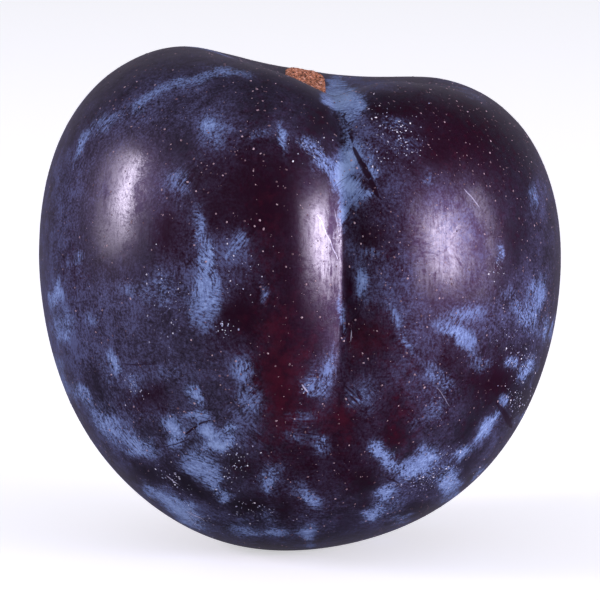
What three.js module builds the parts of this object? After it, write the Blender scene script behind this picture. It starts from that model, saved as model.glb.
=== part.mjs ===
// A ripe dark plum, standing on a small flat spot at its blossom end.
// Millimetres, +Z up, +X to the right and +Y to the back as seen from the suture side.
// The origin is at the height of the flat spot, under the fruit's axis.
//
// The fruit is one solid. Its skin is a round body, fuller above the middle, that four
// features shape: a funnel round the stem's seat, a shallow dip in the right shoulder,
// the suture, which is the crease that runs from the funnel down the front, and the
// raised patch of cork where the stem came away.

import * as THREE from "three";

// ---- The body ----
const HALF_WIDTH = 30.65; // before its fullness, across the two cheeks
const DEPTH_SHARE = 0.95; // front to back, as a share of the width
const DOME_HEIGHT = 61.9; // as if it had no funnel and no flat spot
const FULLNESS = [0.089, 0.15, 0.054]; // swells the upper half, both ends, and the shoulder
const SHOULDER_LEAN = { drop: 2.3, power: 3 }; // the right shoulder sits lower than the left
const BLOSSOM_TIP = { shift: -2.0, power: 20 }; // the lowest point lies left of the axis
const FLAT_SPOT_SINK = 0.4; // how far the round underside is cut up to the flat spot

// ---- The funnel round the stem's seat, and the dip beside it ----
const FUNNEL = { x: 2.3, y: 2.3, depth: 8.4, reachX: 11.1, reachY: 13.6, power: 1.9 };
const SIDE_DIP = { x: 15.4, y: -1.3, depth: 1.1, reachX: 5.5, reachY: 5.5, power: 2 };

// ---- The suture ----
const SUTURE = {
  depth: 3.6, // where it is deepest
  onset: 0.45, // the share of the brim's height where half of that depth is reached
  power: 7, // how suddenly it sets in there
  ease: 0.25, // the share of its depth that is gone again at the brim
  easePower: 12, // how suddenly it eases there
  leftFlank: 6.2, // how far each flank reaches at the brim
  rightFlank: 4.4,
  spread: 1.15, // that reach at the blossom end, as a share of the reach at the brim
  fold: 0.35, // how softly the bottom is rounded
  edge: 0.4, // how softly the flanks end, as a share of their reach
  frontLimit: -4.0, // it ends inside the funnel, short of the stem's seat
  frontBlend: 1.5,
};
const BRIM_HEIGHT = 56; // heights along the suture are counted as shares of this
const SUTURE_PATH = [-0.4, 17.5, -12.7]; // x of the crease: a parabola in that share

// ---- The cork at the stem's seat ----
const CORK = { x: 0.6, y: 6.6, halfWidth: 2.5, halfLength: 8.4, squareness: 3.2, rise: 0.28, edge: 0.16 };

// ---- How finely the skin is divided ----
const COLUMNS = 84;
const ROWS = 40;
const SUTURE_AZIMUTH = THREE.MathUtils.degToRad(-78);
const COLUMN_CROWDING = 0.4; // columns stand closer together at the suture
const ROW_CROWDING = 0.3; // rows stand closer together round the funnel

// A bump or hollow with a round top: 1 at its middle, 0 far off.
function dimple(form, x, y) {
  const away = Math.hypot((x - form.x) / form.reachX, (y - form.y) / form.reachY);
  return Math.exp(-(away ** form.power));
}

// Goes smoothly from 0 well below zero to 1 well above it.
function softStep(value, blend) {
  return 1 / (1 + Math.exp(-value / blend));
}

// How far the cork stands over the skin. Its outline is a tongue that runs up the back wall.
function corkRise(x, y) {
  const across = Math.abs((x - CORK.x) / CORK.halfWidth) ** CORK.squareness;
  const along = Math.abs((y - CORK.y) / CORK.halfLength) ** CORK.squareness;
  const away = (across + along) ** (1 / CORK.squareness);
  return CORK.rise * softStep(1 - away, CORK.edge);
}

// How deep the suture is sunk at a point of the body: two flat flanks that meet in a narrow fold.
function sutureDepth(x, y, z) {
  const share = Math.max(0, z / BRIM_HEIGHT);
  const [start, slope, bend] = SUTURE_PATH;
  const side = x - (start + slope * share + bend * share ** 2);
  const setIn = share ** SUTURE.power / (share ** SUTURE.power + SUTURE.onset ** SUTURE.power);
  const eased = 1 - SUTURE.ease * share ** SUTURE.easePower;
  const spread = SUTURE.spread + (1 - SUTURE.spread) * share;
  const reach = (side > 0 ? SUTURE.rightFlank : SUTURE.leftFlank) * spread;
  const flank = 1 - Math.hypot(side, SUTURE.fold) / reach;
  const across = (flank + Math.hypot(flank, SUTURE.edge)) / 2;
  return SUTURE.depth * setIn * eased * across * softStep(SUTURE.frontLimit - y, SUTURE.frontBlend);
}

// The point of the skin in a direction: azimuth round the axis, and polar angle up from the base.
function skinPoint(azimuth, polar) {
  const height = -Math.cos(polar); // -1 at the blossom end, 1 at the top
  const share = (1 + height) / 2;
  const girth =
    HALF_WIDTH *
    Math.sin(polar) *
    (1 + FULLNESS[0] * height + FULLNESS[1] * height ** 2 + FULLNESS[2] * height ** 3);
  const point = new THREE.Vector3(
    girth * Math.cos(azimuth),
    girth * Math.sin(azimuth) * DEPTH_SHARE,
    DOME_HEIGHT * share,
  );
  point.z -= SHOULDER_LEAN.drop * (point.x / HALF_WIDTH) * share ** SHOULDER_LEAN.power;
  if (height > 0) {
    point.z -= FUNNEL.depth * dimple(FUNNEL, point.x, point.y);
    point.z -= SIDE_DIP.depth * dimple(SIDE_DIP, point.x, point.y);
    point.z += corkRise(point.x, point.y);
  }
  point.x += BLOSSOM_TIP.shift * (1 - share) ** BLOSSOM_TIP.power;

  const middle = new THREE.Vector3(0, 0, DOME_HEIGHT / 2);
  const inwards = middle.sub(point).normalize();
  point.addScaledVector(inwards, sutureDepth(point.x, point.y, point.z));
  point.z -= FLAT_SPOT_SINK;
  return point;
}

// The whole skin: rings of points from the rim of the flat spot to the top, closed by a fan at each end.
function plumGeometry() {
  const flatRim = Math.acos(1 - (2 * FLAT_SPOT_SINK) / DOME_HEIGHT);
  const points = [];
  for (let row = 0; row < ROWS; row++) {
    const share = row / ROWS;
    const crowded = share + (ROW_CROWDING / Math.PI) * Math.sin(Math.PI * share);
    const polar = flatRim + (Math.PI - flatRim) * crowded;
    for (let column = 0; column < COLUMNS; column++) {
      const turn = (2 * Math.PI * column) / COLUMNS;
      const azimuth = SUTURE_AZIMUTH + turn - COLUMN_CROWDING * Math.sin(turn);
      points.push(skinPoint(azimuth, polar));
    }
  }
  const base = points.push(new THREE.Vector3(BLOSSOM_TIP.shift, 0, 0)) - 1;
  const top = points.push(skinPoint(0, Math.PI)) - 1;

  const faces = [];
  for (let column = 0; column < COLUMNS; column++) {
    const next = (column + 1) % COLUMNS;
    faces.push(base, next, column);
    for (let row = 0; row < ROWS - 1; row++) {
      const low = row * COLUMNS;
      const high = low + COLUMNS;
      faces.push(low + column, low + next, high + next);
      faces.push(low + column, high + next, high + column);
    }
    const last = (ROWS - 1) * COLUMNS;
    faces.push(last + column, last + next, top);
  }
  const geometry = new THREE.BufferGeometry().setFromPoints(points);
  geometry.setIndex(faces);
  geometry.computeVertexNormals();
  return geometry;
}

const skin = new THREE.MeshStandardMaterial({ color: 0x2b2038, roughness: 0.4, metalness: 0 });

const plum = new THREE.Mesh(plumGeometry(), skin);
plum.name = "plum";

const group = new THREE.Group();
group.add(plum);

export default group;
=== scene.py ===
import math
from collections import namedtuple
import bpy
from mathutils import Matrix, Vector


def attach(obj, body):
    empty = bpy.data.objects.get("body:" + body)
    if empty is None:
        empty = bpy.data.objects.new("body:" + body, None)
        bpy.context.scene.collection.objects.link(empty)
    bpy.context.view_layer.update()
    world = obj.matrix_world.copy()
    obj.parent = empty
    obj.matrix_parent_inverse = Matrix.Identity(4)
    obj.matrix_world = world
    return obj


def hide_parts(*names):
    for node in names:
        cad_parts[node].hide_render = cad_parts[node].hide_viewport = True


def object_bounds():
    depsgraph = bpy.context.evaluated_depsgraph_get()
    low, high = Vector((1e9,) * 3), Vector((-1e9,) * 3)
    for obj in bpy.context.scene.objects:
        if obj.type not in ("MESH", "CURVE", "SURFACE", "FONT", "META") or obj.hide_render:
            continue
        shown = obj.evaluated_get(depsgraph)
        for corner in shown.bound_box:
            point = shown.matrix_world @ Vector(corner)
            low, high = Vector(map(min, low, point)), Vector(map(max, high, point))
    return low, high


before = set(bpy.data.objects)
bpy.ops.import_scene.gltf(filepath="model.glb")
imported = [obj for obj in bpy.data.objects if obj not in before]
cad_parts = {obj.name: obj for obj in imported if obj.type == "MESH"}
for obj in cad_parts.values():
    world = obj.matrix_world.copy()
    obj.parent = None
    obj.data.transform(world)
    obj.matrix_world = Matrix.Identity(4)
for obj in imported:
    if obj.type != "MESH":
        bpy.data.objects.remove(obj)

from types import SimpleNamespace

import bpy
import numpy as np
from mathutils import Matrix, Vector, noise

bl_info = {
    "name": "Dark plum under bloom",
    "version": (1, 0, 0),
    "blender": (4, 5, 0),
    "location": "3D View > Sidebar > Plum",
    "description": "Makes the skin, bloom, lenticels and cork of a ripe dark plum, and a plain stage for it",
    "category": "Add Mesh",
}

MM = 0.001
CAD_LOW, CAD_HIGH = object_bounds()
CAD_SIZE = CAD_HIGH - CAD_LOW


# ---- Settings ----


def length(name, description, default):
    rule = {"unit": "LENGTH", "precision": 5}
    return bpy.props.FloatProperty(name=name, description=description, default=default, **rule)


def number(name, description, default):
    return bpy.props.FloatProperty(name=name, description=description, default=default, precision=4)


def whole_number(name, description, default):
    return bpy.props.IntProperty(name=name, description=description, default=default)


def colour(name, description, default):
    rule = {"subtype": "COLOR", "size": 3, "min": 0, "max": 1}
    return bpy.props.FloatVectorProperty(name=name, description=description, default=default, **rule)


class PlumShape(bpy.types.PropertyGroup):
    """Sizes of the fruit, the same as those of its solid."""

    half_width: length("Half width", "From the axis to a cheek, before its fullness", 0.4975 * CAD_SIZE.x)
    depth_share: number("Depth share", "Front to back, as a share of the width", 0.95)
    dome_height: length("Dome height", "Height with no funnel and no flat spot", 0.0619)
    full_upper: number("Upper fullness", "Swells the upper half", 0.089)
    full_ends: number("End fullness", "Swells both ends", 0.15)
    full_shoulder: number("Shoulder fullness", "Swells the shoulder", 0.054)
    lean_drop: length("Shoulder drop", "How much lower the right shoulder sits", 0.0023)
    lean_power: number("Shoulder power", "How suddenly that drop sets in", 3.0)
    tip_shift: length("Tip shift", "How far the blossom end lies to the side", -0.0020)
    tip_power: number("Tip power", "How near the blossom end that shift sets in", 20.0)
    flat_sink: length("Flat spot sink", "How far the underside is cut to the flat spot", 0.0004)
    flat_round: length("Flat spot edge", "How softly the underside turns into the flat spot", 0.00025)
    funnel_x: length("Funnel X", "Middle of the funnel, across", 0.0023)
    funnel_y: length("Funnel Y", "Middle of the funnel, front to back", 0.0023)
    funnel_depth: length("Funnel depth", "Depth of the funnel round the stem's seat", 0.0084)
    funnel_reach_x: length("Funnel reach X", "How far the funnel reaches across", 0.0111)
    funnel_reach_y: length("Funnel reach Y", "How far the funnel reaches front to back", 0.0136)
    funnel_power: number("Funnel power", "How steep the funnel's wall is", 1.9)
    dip_x: length("Dip X", "Middle of the dip in the right shoulder, across", 0.0154)
    dip_y: length("Dip Y", "Middle of that dip, front to back", -0.0013)
    dip_depth: length("Dip depth", "Depth of that dip", 0.0011)
    dip_reach: length("Dip reach", "How far that dip reaches", 0.0055)
    suture_depth: length("Suture depth", "Depth of the crease where it is deepest", 0.0036)
    suture_onset: number("Suture onset", "Share of the brim's height where it is half as deep", 0.45)
    suture_power: number("Suture power", "How suddenly the crease sets in there", 7.0)
    suture_ease: number("Suture ease", "Share of that depth that is gone again at the brim", 0.25)
    suture_ease_power: number("Suture ease power", "How suddenly the crease eases there", 12.0)
    suture_left: length("Suture left flank", "Reach of the crease's left flank at the brim", 0.0062)
    suture_right: length("Suture right flank", "Reach of its right flank at the brim", 0.0044)
    suture_spread: number("Suture spread", "Reach at the blossom end, as a share of that at the brim", 1.15)
    suture_fold: length("Suture fold", "How softly the bottom of the crease is rounded", 0.00035)
    suture_edge: number("Suture edge", "How softly the flanks end, as a share of their reach", 0.40)
    suture_start: length("Suture start", "Place of the crease at the blossom end, across", -0.0004)
    suture_slope: length("Suture slope", "How far it runs to the right on its way up", 0.0175)
    suture_bend: length("Suture bend", "How far it then bends back", -0.0127)
    suture_limit: length("Suture limit", "Where it ends inside the funnel, front to back", -0.0040)
    suture_blend: length("Suture blend", "How softly it ends there", 0.0015)
    brim_height: length("Brim height", "Heights along the suture count as shares of this", 0.056)
    cork_x: length("Cork X", "Middle of the patch of cork, across", 0.0006)
    cork_y: length("Cork Y", "Middle of that patch, front to back", 0.0066)
    cork_half_width: length("Cork half width", "Half of that patch, across", 0.0025)
    cork_half_length: length("Cork half length", "Half of that patch, front to back", 0.0084)
    cork_squareness: number("Cork squareness", "How square its outline is: 2 is an ellipse", 3.2)
    cork_rise: length("Cork rise", "How far the cork stands over the skin", 0.00028)
    cork_edge: number("Cork edge", "How softly the cork's edge falls off", 0.16)
    unevenness: length("Unevenness", "How far the grown surface strays from its rule", 0.00022)
    unevenness_size: length("Unevenness size", "How wide those swells are", 0.0085)


class PlumDetail(bpy.types.PropertyGroup):
    """How finely the pieces are divided, and how many small marks they carry."""

    skin_faces: whole_number("Skin faces", "Faces along one of its 12 seams", 127)
    cork_faces: whole_number("Cork faces", "Faces along one of its 12 seams", 56)
    lenticel_density: number("Lenticel density", "Lenticels on a square metre of skin", 700000.0)
    fleck_density: number("Fleck density", "Flecks on a square metre where they are thickest", 7500000.0)
    seed: whole_number("Seed", "Draws the marks that no plan places", 7)


class PlumColours(bpy.types.PropertyGroup):
    """Colours of the finishes."""

    skin: colour("Bare skin", "Bare skin of the sunny parts", (0.0160, 0.0016, 0.0082))
    slate: colour("Slate skin", "Skin that is rubbed smooth but not clean", (0.0148, 0.0115, 0.0195))
    flush: colour("Flush", "Where the flesh shows through the skin", (0.052, 0.0033, 0.0115))
    veil: colour("Veil", "Thin wax over the whole skin", (0.061, 0.051, 0.102))
    mid_bloom: colour("Middling bloom", "Where the bloom begins to cover the skin", (0.160, 0.226, 0.430))
    bloom: colour("Bloom", "Thick wax", (0.290, 0.402, 0.655))
    thin_bloom: colour("Thin bloom", "Bloom at its worn edges", (0.090, 0.104, 0.210))
    scratch: colour("Scratch", "Fresh skin in a scratch", (0.0170, 0.0050, 0.0125))
    scuff: colour("Scuff", "Wax pushed up beside a rub", (0.560, 0.545, 0.700))
    sheen: colour("Sheen", "Tint of the skin's own gloss", (0.80, 0.52, 1.0))
    lenticel: colour("Lenticel", "Pale corky dots", (0.50, 0.35, 0.39))
    lenticel_dark: colour("Dark lenticel", "Dots that lie under the wax", (0.14, 0.07, 0.09))
    # dry crumbs of wax; their near-white colour also paints the small glints of light that the crumbs catch
    fleck: colour("Fleck", "Dry crumbs of wax", (0.85, 0.85, 0.92))
    fleck_dark: colour("Dark fleck", "The greyest of those crumbs", (0.30, 0.32, 0.48))
    cork: colour("Cork", "The cork at the stem's seat", (0.64, 0.230, 0.112))
    cork_dark: colour("Cork pits", "Pits and cracks in that cork", (0.060, 0.022, 0.016))
    cork_pale: colour("Cork grains", "The palest grains of that cork", (0.86, 0.55, 0.46))
    floor: colour("Floor", "The plain floor", (0.86, 0.86, 0.87))
    lamp: colour("Lamps", "Light of the softboxes", (0.88, 0.80, 1.0))
    air: colour("Even light", "Light from all round", (0.90, 0.91, 1.0))
    mirrored: colour("Mirrored room", "What the gloss mirrors between the softboxes", (0.86, 0.78, 1.0))


class PlumStage(bpy.types.PropertyGroup):
    """Camera and lights."""

    view_distance: length("View distance", "From the camera to the fruit's middle", 0.430)
    view_elevation: bpy.props.FloatProperty(
        name="View elevation", description="Height of the view", default=math.radians(8), subtype="ANGLE"
    )
    view_height: length("View height", "Height of the point that the camera looks at", 0.02929)
    lens: number("Lens", "Focal length in millimetres", 217.6)
    ambient: number("Ambient", "Even light from all round", 0.405)
    gloss_ambient: number("Dark surround", "What the gloss mirrors between the softboxes", 0.013)


# ---- Arithmetic with node sockets ----


def plug(tree, value, socket):
    """Links a Term to a socket, or sets the socket to a plain value."""
    if isinstance(value, Term):
        tree.links.new(value.socket, socket)
    else:
        socket.default_value = value


def add_node(tree, kind, inputs=None, **settings):
    """A node with its own settings and the values of its inputs, by the name or number of the socket."""
    made = tree.nodes.new(kind)
    for key, value in settings.items():
        setattr(made, key, value)
    for key, value in (inputs or {}).items():
        plug(tree, value, made.inputs[key])
    return made


class Term:
    """A socket that arithmetic can be written with; each step becomes a Math node."""

    def __init__(self, tree, socket):
        self.tree = tree
        self.socket = socket

    def math(self, operation, *others):
        values = dict(enumerate((self, *others)))
        return add_term(self.tree, "ShaderNodeMath", values, operation=operation)

    def __add__(self, other):
        return self.math("ADD", other)

    def __sub__(self, other):
        return self.math("SUBTRACT", other)

    def __mul__(self, other):
        return self.math("MULTIPLY", other)

    def __truediv__(self, other):
        return self.math("DIVIDE", other)

    def __pow__(self, other):
        return self.math("POWER", other)

    def __rsub__(self, other):
        return self * -1 + other

    def __rtruediv__(self, other):
        return self**-1 * other

    __radd__ = __add__
    __rmul__ = __mul__

    def exp(self):
        return self.math("EXPONENT")

    def soft_step(self, blend):
        """Goes smoothly from 0 well below zero to 1 well above it."""
        return ((self / blend * -1).exp() + 1) ** -1

    def ramp(self, low, high):
        """0 up to low, 1 from high, smooth between."""
        inputs = {0: self, 1: low, 2: high}
        return add_term(self.tree, "ShaderNodeMapRange", inputs, interpolation_type="SMOOTHSTEP")


def add_term(tree, kind, inputs=None, output=0, **settings):
    """A new node's output as a Term."""
    return Term(tree, add_node(tree, kind, inputs, **settings).outputs[output])


def separate(vector):
    made = add_node(vector.tree, "ShaderNodeSeparateXYZ", {0: vector})
    return [Term(vector.tree, socket) for socket in made.outputs]


def combine(x, y, z):
    return add_term(x.tree, "ShaderNodeCombineXYZ", {0: x, 1: y, 2: z})


def vector_math(operation, *vectors, **others):
    inputs = {**dict(enumerate(vectors)), **others}
    return add_term(vectors[0].tree, "ShaderNodeVectorMath", inputs, operation=operation)


def fractal(vector, scale, detail=3.0, roughness=0.5, distortion=0.0):
    """Fractal noise from 0 to 1, mostly near a half."""
    inputs = {"Vector": vector, "Scale": scale, "Detail": detail}
    inputs |= {"Roughness": roughness, "Distortion": distortion}
    return add_term(vector.tree, "ShaderNodeTexNoise", inputs, noise_dimensions="3D")


# ---- Geometry Nodes ----


def shown_keys(settings):
    return [p.identifier for p in settings.bl_rna.properties if p.identifier not in ("rna_type", "name")]


def new_geometry_tree(name, *settings_groups):
    """A tree with a named input for each setting. Returns it with those inputs as Terms."""
    tree = bpy.data.node_groups.new(name, "GeometryNodeTree")
    tree.is_modifier = True
    tree.interface.new_socket("Geometry", in_out="INPUT", socket_type="NodeSocketGeometry")
    tree.interface.new_socket("Geometry", in_out="OUTPUT", socket_type="NodeSocketGeometry")
    kinds = {"FLOAT": "NodeSocketFloat", "INT": "NodeSocketInt"}
    for settings in settings_groups:
        for key in shown_keys(settings):
            rule = settings.bl_rna.properties[key]
            tree.interface.new_socket(rule.name, in_out="INPUT", socket_type=kinds[rule.type])
    inputs = add_node(tree, "NodeGroupInput")
    sizes = {
        key: Term(tree, inputs.outputs[settings.bl_rna.properties[key].name])
        for settings in settings_groups
        for key in shown_keys(settings)
    }
    return tree, Term(tree, inputs.outputs["Geometry"]), SimpleNamespace(**sizes)


def end_tree(tree, geometry, material):
    """Smooth faces, real meshes for instances, and the material."""
    smooth = add_term(tree, "GeometryNodeSetShadeSmooth", {"Geometry": geometry})
    real = add_term(tree, "GeometryNodeRealizeInstances", {0: smooth})
    painted = add_term(tree, "GeometryNodeSetMaterial", {"Geometry": real, "Material": material})
    add_node(tree, "NodeGroupOutput", {0: painted})
    return tree


def grow(name, tree, *settings_groups, start=None):
    """Runs a tree, on a start mesh where it needs one. Returns a plain object with no modifier."""
    holder = bpy.data.objects.new(name + "_rule", start or bpy.data.meshes.new("start"))
    bpy.context.scene.collection.objects.link(holder)
    modifier = holder.modifiers.new(name, "NODES")
    modifier.node_group = tree
    sockets = {s.name: s.identifier for s in tree.interface.items_tree if s.in_out == "INPUT"}
    for settings in settings_groups:
        for key in shown_keys(settings):
            modifier[sockets[settings.bl_rna.properties[key].name]] = getattr(settings, key)
    graph = bpy.context.evaluated_depsgraph_get()
    grown = holder.evaluated_get(graph)
    mesh = bpy.data.meshes.new_from_object(grown, preserve_all_data_layers=True, depsgraph=graph)
    bpy.data.objects.remove(holder)
    mesh.name = name
    made = bpy.data.objects.new(name, mesh)
    bpy.context.scene.collection.objects.link(made)
    if not mesh.polygons:
        raise RuntimeError(f"{name} came out empty")
    return made


def even_sphere(tree, faces):
    """A sphere of radius 1 with even faces, made by blowing up a cube. Returns the cube and the points."""
    corners = {f"Vertices {axis}": faces + 1 for axis in "XYZ"}
    cube = add_term(tree, "GeometryNodeMeshCube", {"Size": (2.0, 2.0, 2.0), **corners})
    place = add_term(tree, "GeometryNodeInputPosition")
    bowed = [(p * (math.pi / 4)).math("TANGENT") for p in separate(place)]
    return cube, separate(vector_math("NORMALIZE", combine(*bowed)))


def moved(mesh, place):
    return add_term(mesh.tree, "GeometryNodeSetPosition", {"Geometry": mesh, "Position": place})


# ---- The rule of the fruit's form ----


def away(x, y, middle_x, middle_y, reach_x, reach_y, power=2.0):
    """Distance from a middle, counted in reaches. A power over 2 makes the rings square."""
    across = ((x - middle_x) / reach_x).math("ABSOLUTE")
    along = ((y - middle_y) / reach_y).math("ABSOLUTE")
    return (across**power + along**power) ** (1 / power)


def suture_depth(s, x, y, z):
    """How deep the crease is sunk at a point of the body."""
    height = (z / s.brim_height).math("MAXIMUM", 0.0)
    crease = s.suture_start + s.suture_slope * height + s.suture_bend * height**2
    along = height**s.suture_power / (height**s.suture_power + s.suture_onset**s.suture_power)
    along = along * (1 - s.suture_ease * height**s.suture_ease_power)
    side = x - crease
    right = side.math("GREATER_THAN", 0.0)
    reach = s.suture_left + (s.suture_right - s.suture_left) * right
    reach = reach * (s.suture_spread + (1 - s.suture_spread) * height)
    slope = 1 - (side**2 + s.suture_fold**2) ** 0.5 / reach
    across = (slope + (slope**2 + s.suture_edge**2) ** 0.5) / 2
    inside = (s.suture_limit - y).soft_step(s.suture_blend)
    return s.suture_depth * along * across * inside


def skin_point(s, unit):
    """Where a point of the sphere of radius 1 lands on the skin. Points are lists of x, y and z."""
    unit_x, unit_y, height = unit
    rise = (height + 1) / 2
    full = s.full_upper * height + s.full_ends * height**2 + s.full_shoulder * height**3 + 1
    x = s.half_width * unit_x * full
    y = s.half_width * s.depth_share * unit_y * full
    z = s.dome_height * rise
    z = z - s.lean_drop * (x / s.half_width) * rise**s.lean_power
    upper = height.math("GREATER_THAN", 0.0)
    funnel = away(x, y, s.funnel_x, s.funnel_y, s.funnel_reach_x, s.funnel_reach_y)
    dip = away(x, y, s.dip_x, s.dip_y, s.dip_reach, s.dip_reach)
    z = z - upper * s.funnel_depth * (funnel**s.funnel_power * -1).exp()
    z = z - upper * s.dip_depth * (dip**2 * -1).exp()
    cork = away(x, y, s.cork_x, s.cork_y, s.cork_half_width, s.cork_half_length, s.cork_squareness)
    z = z + upper * s.cork_rise * (1 - cork).soft_step(s.cork_edge)
    x = x + s.tip_shift * (1 - rise) ** s.tip_power

    inward = vector_math("NORMALIZE", combine(x * -1, y * -1, s.dome_height / 2 - z))
    sunk = vector_math("SCALE", inward, Scale=suture_depth(s, x, y, z))
    strayed = fractal(combine(x, y, z), 1 / s.unevenness_size, detail=1.5) - 0.5
    strayed = vector_math("SCALE", inward, Scale=strayed * s.unevenness * rise)
    x, y, z = separate(vector_math("ADD", combine(x, y, z), vector_math("ADD", sunk, strayed)))
    z = (z - s.flat_sink).math("SMOOTH_MAX", 0.0, s.flat_round)
    return [x, y, z]


def skin_tree(shape, detail, material):
    tree, _, s = new_geometry_tree("Plum skin", shape, detail)
    cube, unit = even_sphere(tree, s.skin_faces)
    return end_tree(tree, moved(cube, combine(*skin_point(s, unit))), material)


def cork_tree(shape, detail, material):
    """A thin lens of cork: the upper half of a sphere laid on the skin, the lower half sunk in it."""
    crown, sink, grain_height, lump_height = 0.00022, 0.0004, 0.0011, 0.0006
    grains_per_metre, lumps_per_metre = 1400.0, 520.0
    tree, _, s = new_geometry_tree("Cork", shape, detail)
    cube, (ball_x, ball_y, ball_z) = even_sphere(tree, s.cork_faces)
    rim = (ball_x**2 + ball_y**2) ** 0.5
    square = away(ball_x, ball_y, 0.0, 0.0, 1.0, 1.0, s.cork_squareness)
    square = rim / square.math("MAXIMUM", 0.01)
    rag = fractal(combine(ball_x, ball_y, ball_z * 0), 2.6, detail=4.0) - 0.5
    spread = (1 + rag * 0.22 * rim) * square
    top_width = s.half_width * (1 + s.full_upper + s.full_ends + s.full_shoulder)
    unit_x = (s.cork_x + s.cork_half_width * ball_x * spread) / top_width
    unit_y = (s.cork_y + s.cork_half_length * ball_y * spread) / (top_width * s.depth_share)
    unit_z = (1 - unit_x**2 - unit_y**2) ** 0.5
    x, y, z = skin_point(s, [unit_x, unit_y, unit_z])
    place = combine(x, y, z)
    grains = fractal(place, grains_per_metre, detail=3.0, roughness=0.65) - 0.5
    lumps = fractal(place, lumps_per_metre, detail=2.0) - 0.5
    swell = ball_z.math("MAXIMUM", 0.0) ** 0.5
    top = swell * (crown + grains * grain_height + lumps * lump_height)
    under = ball_z.math("MINIMUM", 0.0) * sink
    return end_tree(tree, moved(cube, combine(x, y, z + top + under)), material)


# ---- Where the wax lies ----

# Scratches as seen from the front: where each starts and ends, across and up from the fruit's middle, and its
# width, all in millimetres; and how strong it is.
DARK_SCRATCHES = (
    # the wiped edge of the bloom beside the suture
    (5, 22.2, 7, 16.6, 0.3, 0.9), (6.3, 18.4, 8.3, 14.2, 0.62, 0.95), (7.4, 16.4, 9.2, 12.2, 0.8, 1),
    (8.9, 13.2, 9.4, 10.9, 0.16, 0.8), (4.6, 21.8, 6.2, 20.6, 0.2, 0.8),
    (4.5, 21.4, 5.6, 22.4, 0.16, 0.8), (5.2, 20.3, 6.6, 21.6, 0.16, 0.7), (3.8, 13, 6, 15, 0.12, 0.5),
    (3.4, 12.2, 5.4, 13.6, 0.1, 0.5),
    # across the foot of the suture
    (7.5, -1.1, 5.8, -3.2, 0.14, 0.9), (5.8, -3.2, 4.3, -5.8, 0.14, 1),
    # left cheek
    (-21.1, -7.6, -17, -7.5, 0.22, 0.7), (-13.8, -16, -12.2, -14.8, 0.3, 1),
    (-12.4, -14.9, -10.7, -14.2, 0.24, 0.9), (-13.4, -13, -10.2, -13.5, 0.14, 0.8),
    (-15.9, -17.5, -13, -16.5, 0.18, 0.8), (-15.3, -22, -13.2, -23.4, 0.2, 0.8),
    (-23.7, 20.3, -22, 21.3, 0.2, 0.7), (-25.3, 21.7, -24.6, 19.8, 0.2, 0.6),
    # right edge and below it
    (24.8, -5.3, 27.1, -8.3, 0.14, 0.9), (25.8, -5.6, 27, -7.2, 0.1, 0.8),
    (23.3, -12.2, 25.1, -15.1, 0.8, 0.75), (21.8, -15.9, 25.4, -13.6, 0.12, 0.8),
    (10.1, -21, 11.7, -21.8, 0.3, 0.8), (16.5, -10.8, 17.2, -12.1, 0.12, 0.6),
    (16.9, -10.5, 18, -11.8, 0.12, 0.6),
    # hatching on the right edge
    (25.2, 0.2, 26.2, -2.2, 0.12, 0.7), (25.8, 0.3, 26.8, -2.4, 0.12, 0.8),
    (26.4, 0.2, 27.3, -2.2, 0.12, 0.8), (27, 0.6, 27.8, -1.6, 0.12, 0.7), (26.2, 2, 27.2, 0, 0.1, 0.6),
    (24.6, -0.6, 25.6, -2.4, 0.1, 0.6),
)
PALE_SCRATCHES = (
    # hatching below the right cheek
    (16, -10.2, 17.6, -12.6, 0.1, 0.3),
    # pale scratches and streaks; the streak from (2.1, 10.4) to (4.4, 4.8) on the left flank of the suture is
    # a polished rub whose pale colour also paints a highlight streak
    (19.4, 13.3, 21.4, 10.8, 0.16, 0.45), (2.1, 10.4, 4.4, 4.8, 0.16, 0.55),
    (4, 10.8, 4.9, 7.5, 0.1, 0.4), (0.1, -10.1, 1, -11, 0.2, 0.8), (5.9, -3.6, 5.9, -5, 0.12, 0.6),
    (-13.5, -25, -11.4, -26.1, 0.3, 0.7), (-15.9, -20.8, -14.4, -21.9, 0.22, 0.8),
)

# One mark of a finish as seen from a side: its middle across and up from the fruit's middle, and its half
# width and half height, in millimetres; how strong it is, up to 1, or below 0 where it polishes; and its tilt
# in degrees, anticlockwise.
Patch = namedtuple("Patch", "across up wide tall amount tilt", defaults=(0,))

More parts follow.
